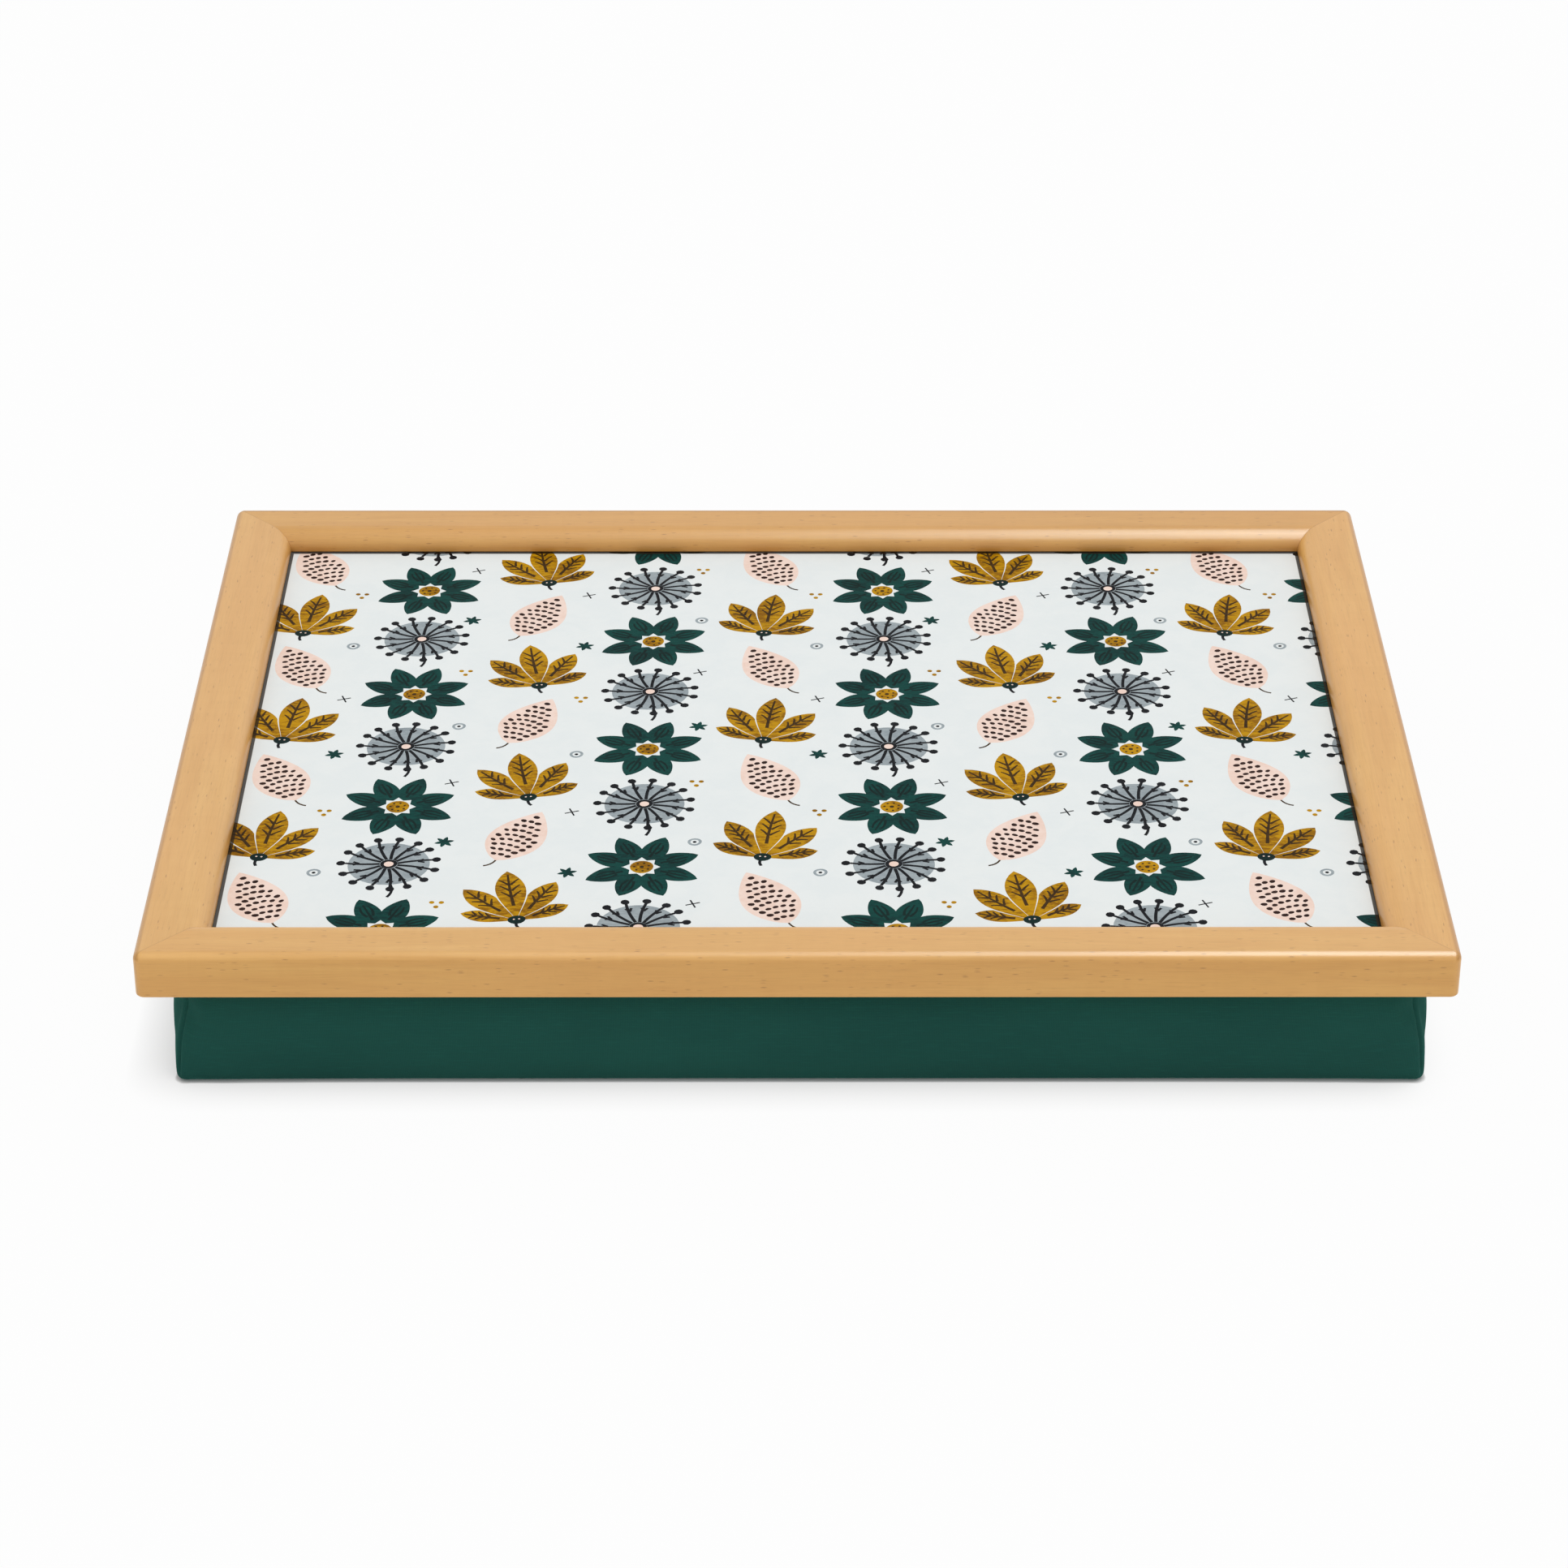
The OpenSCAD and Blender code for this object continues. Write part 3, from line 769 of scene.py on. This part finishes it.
def make_print():
    low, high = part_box("print_sheet")
    half = (high.x / MM, high.y / MM)
    names = list(INKS)
    found, faces = {}, []
    for i in range(-6, 6):
        x0 = i * TILE_X + TILE_SHIFT[0]
        for j in range(-5, 5):
            y0 = j * TILE_Y + TILE_SHIFT[1] + (TILE_Y / 2 if i % 2 else 0)
            kind = (i + 2 * j) % 4
            rng = random.Random(kind * 11 + 5)
            lean = {0: 0.2, 1: -0.14 if j % 2 else 0.16, 2: 0.1, 3: 0.0}[kind]
            flip = -1 if (kind == 3 and (i + j) % 2) else 1
            cx, cy = x0 + TILE_X / 2, y0 + TILE_Y / 2
            shapes = turned_shapes(MOTIFS[kind](rng), lean, flip)
            shapes += filler((i + j) % 4, 18.0, 16.8)
            shapes = [([(x + cx, y + cy) for x, y in o], n) for o, n in shapes]
            cut_tile(half, x0, y0, x0 + TILE_X, y0 + TILE_Y, shapes, names, found, faces)
    mesh = bpy.data.meshes.new("printed_sheet")
    made = bmesh.new()
    top = [made.verts.new((x * MM, y * MM, high.z)) for x, y in found]
    for three, ink_index in faces:
        a, b, c = (top[k] for k in three)
        if ((b.co - a.co).cross(c.co - a.co)).z < 0:
            b, c = c, b
        try:
            made.faces.new((a, b, c)).material_index = ink_index
        except ValueError:
            continue
    loose = [v for v in made.verts if not v.link_faces]
    bmesh.ops.delete(made, geom=loose, context="VERTS")
    # The slab's edges and underside
    rim = [e for e in made.edges if len(e.link_faces) == 1]
    walls = bmesh.ops.extrude_edge_only(made, edges=rim)["geom"]
    lower = [v for v in walls if isinstance(v, bmesh.types.BMVert)]
    for v in lower:
        v.co.z = low.z
    under = [e for e in walls if isinstance(e, bmesh.types.BMEdge) and len(e.link_faces) == 1]
    bmesh.ops.contextual_create(made, geom=under)
    bmesh.ops.recalc_face_normals(made, faces=made.faces)
    made.to_mesh(mesh)
    made.free()
    inks = [ink("print_" + name, *values) for name, values in INKS.items()]
    piece = add_piece("printed_sheet", mesh, inks, "tray", smooth=False)
    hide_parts("print_sheet")


# CUSHION
# Millimetres in this part too.

CUSHION_A, CUSHION_B = 211.2, 155.5
# It sits a little to the right under the frame
CUSHION_SHIFT = 1.2
CUSHION_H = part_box("cover_top")[1].z / MM
STRIP_HALF = (50.0, 10.0)
STRIP_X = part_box("loop_strips")[1].x / MM - STRIP_HALF[0]
STRIP_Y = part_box("loop_strips")[1].y / MM - STRIP_HALF[1]
STEPS = (20, 16, 28)
RING = 4 * sum(STEPS)
# Numbers of the ring's points at the corners' diagonals, and of the panels' squares
DIAGONAL = STEPS[0] + STEPS[1] // 2
PANEL_X, PANEL_Y = RING // 2 - 2 * DIAGONAL, 2 * DIAGONAL
SHARES = (0.64, 0.69, 0.74, 0.79, 0.84, 0.88, 0.92, 0.955, 0.982)
# The most that a point moves as the cushion fills out
CAP = 1.6
PUFF_FRAMES = 16
CLOTH = {
    "quality": 6, "mass": 0.2, "tension_stiffness": 30, "compression_stiffness": 20,
    "shear_stiffness": 10, "bending_stiffness": 1.5, "use_pressure": True,
    "uniform_pressure_force": 3.5,
}


def corner_radius(z):
    heights = [0, 3, 8, 14, 20, 28, CUSHION_H]
    return float(np.interp(z, heights, [3.6, 4.0, 5.6, 7.0, 9.5, 13.2, 14.0]))


def ring(inset, radius, swell):
    """One outline of the cushion, anticlockwise from the middle of the +X side."""
    a, b = CUSHION_A - inset, CUSHION_B - inset
    short, arc, long_ = STEPS
    points = []
    for i in range(short):
        s = i / short
        points.append((a + swell * math.cos(math.pi / 2 * s), (b - radius) * s))
    for i in range(arc + 1):
        t = math.pi / 2 * i / arc
        points.append((a - radius + radius * math.cos(t), b - radius + radius * math.sin(t)))
    for i in range(long_ - 1, -1, -1):
        s = i / long_
        points.append(((a - radius) * s, b + swell * math.cos(math.pi / 2 * s)))
    quarter = points[:-1]
    flip = [(-x, y) for x, y in points[::-1]][:-1]
    return quarter + flip + [(-x, -y) for x, y in quarter] + [(-x, -y) for x, y in flip]


def corner_share(i):
    """1 at a corner's diagonal, falling to 0 along the sides."""
    away = min(abs(i - c) for c in (
        DIAGONAL, RING // 2 - DIAGONAL, RING // 2 + DIAGONAL, RING - DIAGONAL, RING + DIAGONAL
    ))
    return max(0.0, 1 - away / 17.0) ** 1.5


def cushion_rows():
    """Rows of points from the top panel's middle part, down the side, to the underside's."""
    rows = []
    for share in SHARES:
        rows.append([
            (x * share, y * share, CUSHION_H)
            for x, y in ring(2.6, corner_radius(CUSHION_H), 0.2)
        ])
    for inset, drop in ((2.6, 0.0), (1.95, 0.2), (1.65, 0.7), (1.6, 1.4)):
        z = CUSHION_H - drop
        rows.append([(x, y, z) for x, y in ring(inset, corner_radius(z), 0.25)])
    for z, inset, swell in (
        (37.0, 1.35, 0.35), (35.0, 1.0, 0.5), (32.3, 0.6, 0.6), (29.0, 0.2, 0.6),
        (25.5, 0.0, 0.6), (21.8, -0.1, 0.6), (18.0, -0.2, 0.6), (14.2, -0.3, 0.55),
        (10.6, -0.4, 0.5), (7.2, -0.4, 0.4), (5.0, -0.35, 0.35),
    ):
        rows.append([(x, y, z) for x, y in ring(inset, corner_radius(z), swell)])
    # The lower edge's roll, closer at the corners than along the sides
    for k in range(1, 8):
        t = math.pi / 2 * k / 7
        wide, close = [
            [
                (x, y, lift + r * (1 - math.sin(t)))
                for x, y in ring(
                    -0.3 + r * (1 - math.cos(t)), max(4.2 - r * (1 - math.cos(t)), 1.6),
                    0.35 * math.cos(t),
                )
            ]
            for r, lift in ((2.6, 0.1), (1.7, 0.0))
        ]
        rows.append([
            tuple(p + (q - p) * corner_share(i) for p, q in zip(wide[i], close[i]))
            for i in range(RING)
        ])
    edge = rows[-1]
    for share in SHARES[::-1]:
        rows.append([(x * share, y * share, max(0.0, z * (share - 0.9) / 0.1)) for x, y, z in edge])
    return rows


def patch(row, start):
    """The middle of a panel: a square net inside one row, whose first point is number start."""
    low = [row[(RING // 2 + DIAGONAL + i) % RING] for i in range(PANEL_X + 1)]
    right = [row[(RING - DIAGONAL + j) % RING] for j in range(PANEL_Y + 1)]
    high = [row[RING // 2 - DIAGONAL - i] for i in range(PANEL_X + 1)]
    left = [row[RING // 2 + DIAGONAL - j] for j in range(PANEL_Y + 1)]

    def number(i, j, first):
        if j == 0:
            return first + (RING // 2 + DIAGONAL + i) % RING
        if j == PANEL_Y:
            return first + RING // 2 - DIAGONAL - i
        if i == 0:
            return first + RING // 2 + DIAGONAL - j
        if i == PANEL_X:
            return first + (RING - DIAGONAL + j) % RING
        return start + (j - 1) * (PANEL_X - 1) + i - 1

    points = []
    for j in range(1, PANEL_Y):
        v = j / PANEL_Y
        for i in range(1, PANEL_X):
            u = i / PANEL_X
            points.append(tuple(
                (1 - v) * low[i][k] + v * high[i][k] + (1 - u) * left[j][k] + u * right[j][k]
                - (1 - u) * (1 - v) * low[0][k] - u * (1 - v) * low[-1][k]
                - (1 - u) * v * high[0][k] - u * v * high[-1][k]
                for k in range(3)
            ))
    return points, number


def away_from_strips(x, y, margin):
    """0 on a strip, rising to 1 at margin beyond it."""
    dx = max(abs(abs(x) - STRIP_X) - STRIP_HALF[0], 0.0)
    dy = max(abs(abs(y) - STRIP_Y) - STRIP_HALF[1], 0.0)
    return min(1.0, math.hypot(dx, dy) / margin)


def top_limit(x, y):
    """The most height that the top panel has under the tray."""
    room = min(CUSHION_A - abs(x), CUSHION_B - abs(y))
    free = min(1.0, max(0.0, (room - 5.0) / 26.0)) * away_from_strips(x, y, 22.0)
    return CUSHION_H + 0.02 + 1.5 * free * free * (3 - 2 * free)


def puff(piece, held):
    """Blows the piece up as cloth, and returns where each point came to."""
    group = piece.vertex_groups.new(name="held")
    group.add(held, 1.0, "REPLACE")
    cloth = piece.modifiers.new("cloth", "CLOTH")
    for key, value in CLOTH.items():
        setattr(cloth.settings, key, value)
    cloth.settings.vertex_group_mass = group.name
    cloth.settings.effector_weights.gravity = 0
    cloth.collision_settings.use_collision = False
    cloth.collision_settings.use_self_collision = False
    for number in range(1, PUFF_FRAMES + 1):
        scene.frame_set(number)
    seen = piece.evaluated_get(bpy.context.evaluated_depsgraph_get())
    moved = read_points(seen.data)
    piece.modifiers.remove(cloth)
    piece.vertex_groups.remove(group)
    scene.frame_set(1)
    return moved


def make_cushion(cloth):
    rows = cushion_rows()
    count = len(rows)
    verts = [p for row in rows for p in row]
    faces = []
    for k in range(count - 1):
        a, b = k * RING, (k + 1) * RING
        for i in range(RING):
            j = (i + 1) % RING
            faces.append([a + i, b + i, b + j, a + j])
    last = (count - 1) * RING
    inner_top = len(verts)
    points, number = patch(rows[0], inner_top)
    verts += points
    inner_low = len(verts)
    under, number_under = patch(rows[-1], inner_low)
    verts += under
    for j in range(PANEL_Y):
        for i in range(PANEL_X):
            spots = ((i, j), (i + 1, j), (i + 1, j + 1), (i, j + 1))
            faces.append([number(p, q, 0) for p, q in spots])
            faces.append([number_under(p, q, last) for p, q in spots[::-1]])
    co = np.array(verts, float)
    # The points of the top panel, and of what stays where it is built
    on_top = list(range(len(SHARES) * RING)) + list(range(inner_top, inner_low))
    limit = {k: top_limit(co[k, 0], co[k, 1]) for k in on_top}
    # The top panel's crown between the strips, which the cloth then rounds off
    for k in on_top:
        co[k, 2] += 0.8 * (limit[k] - CUSHION_H)
    mesh = bpy.data.meshes.new("cushion_start")
    mesh.from_pydata([tuple(p * MM) for p in co], [], faces)
    start = add_object("cushion_start", mesh)
    held = [k for k in on_top if away_from_strips(co[k, 0], co[k, 1], 1.0) < 1]
    held += range(len(SHARES) * RING, (len(SHARES) + 4) * RING)
    held += range((count - len(SHARES) - 1) * RING, inner_top)
    held += range(inner_low, len(co))
    moved = puff(start, held) / MM
    # The cushion keeps to its place: no point moves more than the fabric gives
    step = moved - co
    length = np.maximum(np.linalg.norm(step, axis=1), 1e-9)
    step *= (np.minimum(length, CAP) / length)[:, None]
    print("cushion moved by at most", round(float(length.max()), 2), "mm")
    co = co + step
    for k in on_top:
        co[k, 2] = min(co[k, 2], limit[k])
    co[:, 2] = np.maximum(co[:, 2], 0.0)
    write_points(mesh, co)
    fine = start.modifiers.new("fine", "SUBSURF")
    fine.levels = fine.render_levels = 1
    seen = start.evaluated_get(bpy.context.evaluated_depsgraph_get())
    cover = bpy.data.meshes.new_from_object(seen)
    cover.name = "cushion_cover"
    bpy.data.objects.remove(start)
    sew(cover)
    cover.transform(Matrix.Translation((CUSHION_SHIFT * MM, 0, 0)))
    piece = add_piece("cushion_cover", cover, [cloth], "cushion")
    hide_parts("cover_shell", "cover_top", "bead_fill")


def sew(mesh):
    """Draws in the corner seams and the top seam, and puckers the fabric beside them."""
    co = read_points(mesh) / MM
    normal = read_points(mesh, "normal")
    x, y, z = co[:, 0], co[:, 1], co[:, 2]
    outer = np.minimum(CUSHION_A - np.abs(x), CUSHION_B - np.abs(y))
    # The upright seams, at the corners' diagonals
    off = (np.abs(x) - np.abs(y) - (CUSHION_A - CUSHION_B)) / math.sqrt(2)
    corner = (np.abs(x) > CUSHION_A - 22) & (np.abs(y) > CUSHION_B - 22)
    fade = np.clip((z - 1.0) / 4.0, 0, 1) * np.clip((CUSHION_H - 0.5 - z) / 1.2, 0, 1)
    groove = 0.75 * np.exp(-((off / 0.55) ** 2))
    lips = 0.16 * np.exp(-(((np.abs(off) - 1.5) / 0.7) ** 2))
    seam = np.where(corner & (outer < 12), (lips - groove) * fade, 0)
    # The top seam, just under the edge of the top panel
    side = np.clip((6 - outer) / 2, 0, 1)
    seam += -0.45 * np.exp(-(((z - CUSHION_H + 1.3) / 0.45) ** 2)) * side
    # Puckers hang from the top seam, and fan out from the lower corners
    path = np.where(
        np.abs(x) / CUSHION_A > np.abs(y) / CUSHION_B,
        np.sign(x) * y,
        1000 - np.sign(y) * x,
    )
    waves = (
        np.sin(path / 4.1 + 1.7 * np.sin(path / 23.0))
        + 0.6 * np.sin(path / 9.7 + 2.0 * np.sin(path / 41.0))
    )
    hang = np.clip((z - 25) / 13.0, 0, 1) ** 2 * np.clip((CUSHION_H - 0.5 - z) / 2, 0, 1)
    seam += 0.07 * waves * hang * side
    broad = np.sin(path / 31.0 + 1.1 * np.sin(path / 67.0)) * np.sin(z / 9.0 + path / 53.0)
    seam += 0.14 * broad * side * np.clip(z / 6, 0, 1) * np.clip((38 - z) / 6, 0, 1)
    gather = np.exp(-((off / 22.0) ** 2)) * np.clip((14 - z) / 8, 0, 1)
    seam += 0.10 * np.sin(off / 2.3 + z / 3.0) * gather * side * np.clip(z / 2.0, 0, 1)
    co = co + normal * seam[:, None]
    co[:, 2] = np.maximum(co[:, 2], 0.0)
    write_points(mesh, co)


# HOOK AND LOOP TAPES
# Woven ribbons with their pile. Millimetres in this part too.

LOOP_ROWS, LOOP_LINES = 66, 14
HOOK_ROWS, HOOK_LINES = 58, 12
STITCH = 3.05


def rounded(cx, cy, half_x, half_y, radius, n=6):
    made = []
    for sx, sy, start in ((1, 1, 0), (-1, 1, 90), (-1, -1, 180), (1, -1, 270)):
        for i in range(n + 1):
            t = math.radians(start + 90 * i / n)
            made.append((
                cx + sx * (half_x - radius) + radius * math.cos(t),
                cy + sy * (half_y - radius) + radius * math.sin(t),
            ))
    return made


class Pile:
    """Collects small pieces of mesh, each with its own material."""

    def __init__(self):
        self.verts, self.faces, self.inks = [], [], []

    def tube(self, path, radii, sides, ink, flat=1.0):
        """A closed tube along a path of points, flattened in z by flat."""
        start = len(self.verts)
        for k, p in enumerate(path):
            a = Vector(path[max(k - 1, 0)])
            b = Vector(path[min(k + 1, len(path) - 1)])
            run = (b - a).normalized()
            side = run.cross(Vector((0, 0, 1)))
            if side.length < 0.1:
                side = run.cross(Vector((0, 1, 0)))
            side.normalize()
            up = side.cross(run)
            for i in range(sides):
                t = 2 * math.pi * i / sides
                q = Vector(p) + radii[k] * (math.cos(t) * side + flat * math.sin(t) * up)
                self.verts.append(tuple(q))
        for k in range(len(path) - 1):
            for i in range(sides):
                j = (i + 1) % sides
                a, b = start + k * sides, start + (k + 1) * sides
                self.faces.append((a + i, a + j, b + j, b + i))
                self.inks.append(ink)
        last = start + (len(path) - 1) * sides
        self.faces.append(tuple(range(start + sides - 1, start - 1, -1)))
        self.faces.append(tuple(range(last, last + sides)))
        self.inks += [ink, ink]

    def ribbon(self, rings, up, ink):
        """A flat tape from its back to its face, as (outline, height) rows."""
        start = len(self.verts)
        count = len(rings[0][0])
        for outline, z in rings:
            self.verts += [(x, y, z) for x, y in outline]
        for k in range(len(rings) - 1):
            a, b = start + k * count, start + (k + 1) * count
            for i in range(count):
                j = (i + 1) % count
                face = (a + i, a + j, b + j, b + i)
                self.faces.append(face if up else face[::-1])
                self.inks.append(ink)
        back = tuple(range(start, start + count))
        front = tuple(range(start + (len(rings) - 1) * count, start + len(rings) * count))
        self.faces += [back[::-1], front] if up else [back, front[::-1]]
        self.inks += [ink, ink]

    def mesh(self, name):
        mesh = bpy.data.meshes.new(name)
        mesh.from_pydata([tuple(c * MM for c in v) for v in self.verts], [], self.faces)
        mesh.polygons.foreach_set("material_index", self.inks)
        return mesh


def tape_body(pile, cx, cy, back, up):
    """The woven ribbon, with its thin selvedge round a slightly thicker field."""
    rise = 1 if up else -1
    rings = [
        (
            rounded(cx, cy, STRIP_HALF[0] - inset, STRIP_HALF[1] - inset, max(2.0 - inset, 0.4)),
            back + rise * height,
        )
        for inset, height in (
            (0.12, 0.02), (0.0, 0.12), (0.0, 0.28), (0.14, 0.36),
            (1.5, 0.38), (1.75, 0.50), (2.2, 0.54),
        )
    ]
    pile.ribbon(rings, up, 0)


def loop_pile(pile, rng, cx, cy, back):
    """Bent loops in worn rows."""
    for i in range(LOOP_ROWS):
        for j in range(LOOP_LINES):
            x = cx - 47.2 + 94.4 * (i + 0.5) / LOOP_ROWS + rng.uniform(-0.4, 0.4)
            y = cy - 7.4 + 14.8 * (j + 0.5) / LOOP_LINES + rng.uniform(-0.3, 0.3)
            turn = rng.uniform(0, math.pi)
            wide, tall = rng.uniform(0.35, 0.6), rng.uniform(0.22, 0.48)
            lean = rng.uniform(-0.2, 0.2)
            path = []
            for k in range(5):
                t = math.pi * k / 4
                height = tall * math.sin(t)
                dx, dy = along(turn, wide * math.cos(t), lean * height)
                path.append((x + dx, y + dy, back + 0.50 + height))
            pile.tube(path, [0.085] * 5, 3, 1)


def stitches(pile, rng, cx, cy, back):
    """Lockstitches along the selvedge."""
    for x0, y0, x1, y1 in (
        (-47.6, -9.1, 47.6, -9.1), (49.1, -7.6, 49.1, 7.6),
        (47.6, 9.1, -47.6, 9.1), (-49.1, 7.6, -49.1, -7.6),
    ):
        count = round(math.hypot(x1 - x0, y1 - y0) / STITCH)
        for k in range(count):
            a = (k + 0.12 + rng.uniform(-0.02, 0.02)) / count
            b = (k + 0.88 + rng.uniform(-0.02, 0.02)) / count
            path = []
            for m, height in ((0, 0.30), (0.12, 0.42), (0.5, 0.48), (0.88, 0.42), (1, 0.30)):
                t = a + (b - a) * m
                path.append((cx + x0 + (x1 - x0) * t, cy + y0 + (y1 - y0) * t, back + height))
            pile.tube(path, [0.08, 0.19, 0.2, 0.19, 0.08], 6, 2, 0.7)


def hook_rows(pile, rng, cx, cy, face):
    """Hooks that hang from the tape on the base panel, in rows that face both ways."""
    bend = ((-0.1, 0.0), (-0.12, 0.55), (0.02, 0.95), (0.22, 0.98), (0.34, 0.72))
    for i in range(HOOK_ROWS):
        for j in range(HOOK_LINES):
            x = cx - 47.0 + 94.0 * (i + 0.5) / HOOK_ROWS
            y = cy - 7.2 + 14.4 * (j + 0.5) / HOOK_LINES
            way = 1 if j % 2 else -1
            tall = rng.uniform(0.44, 0.5)
            path = [
                (x + way * dx + rng.uniform(-0.02, 0.02), y, face - 0.5 - tall * height)
                for dx, height in bend
            ]
            pile.tube(path, [0.12, 0.1, 0.1, 0.09, 0.07], 3, 1)


def make_tapes():
    loops, hooks = Pile(), Pile()
    rng = random.Random(41)
    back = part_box("loop_strips")[0].z / MM
    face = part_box("hook_strips")[1].z / MM
    for sx in (-1, 1):
        for sy in (-1, 1):
            cx, cy = sx * STRIP_X, sy * STRIP_Y
            tape_body(loops, cx, cy, back, True)
            loop_pile(loops, rng, cx, cy, back)
            stitches(loops, rng, cx, cy, back)
            tape_body(hooks, cx, cy, face, False)
            hook_rows(hooks, rng, cx, cy, face)
    weave = tape("tape_weave", (0.024, 0.024, 0.027), 2200)
    tufts = tape("loop_pile", (0.034, 0.034, 0.038), 1400)
    sewing = thread("tape_thread", (0.018, 0.020, 0.020))
    nylon = tape("hook_nylon", (0.028, 0.028, 0.031), 900)
    for pile, kind, materials, body in (
        (loops, "loop", [weave, tufts, sewing], "cushion"),
        (hooks, "hook", [weave, nylon], "tray"),
    ):
        mesh = pile.mesh(kind + "_tapes")
        piece = add_piece(kind + "_tapes", mesh, materials, body, smooth=False)
        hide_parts(kind + "_strips")


# THE SCENE

make_camera()
make_stage()

# Each rail's grain, its place in the pattern, tone, the strength of the painted highlight on its
# rounded edges, and how upright a face is when painted shade darkens it
RAILS = {
    "front": ("X", 1.3, (0.985, 0.97, 0.94), 1.0, 0.6),
    "back": ("X", 7.9, (0.92, 0.865, 0.735), 0.6, 0.5),
    "left": ("Y", 13.1, (0.99, 0.99, 1.02), 0.3, 0.85),
    "right": ("Y", 21.7, (1.01, 0.985, 0.95), 0.3, 0.85),
}
for side, wood in RAILS.items():
    dress(side + "_rail", beech("beech_" + side, *wood))
plated = steel("plated_steel")
dress("corner_nails", plated)
dress("panel_pins", plated)
dress("tray_board", fibreboard("board_fibre"))
dress("balance_sheet", paper("balancing_paper"))
dress("base_panel", hardboard("base_hardboard"))

make_print()
make_cushion(cushion_cloth("cushion_weave"))
make_tapes()
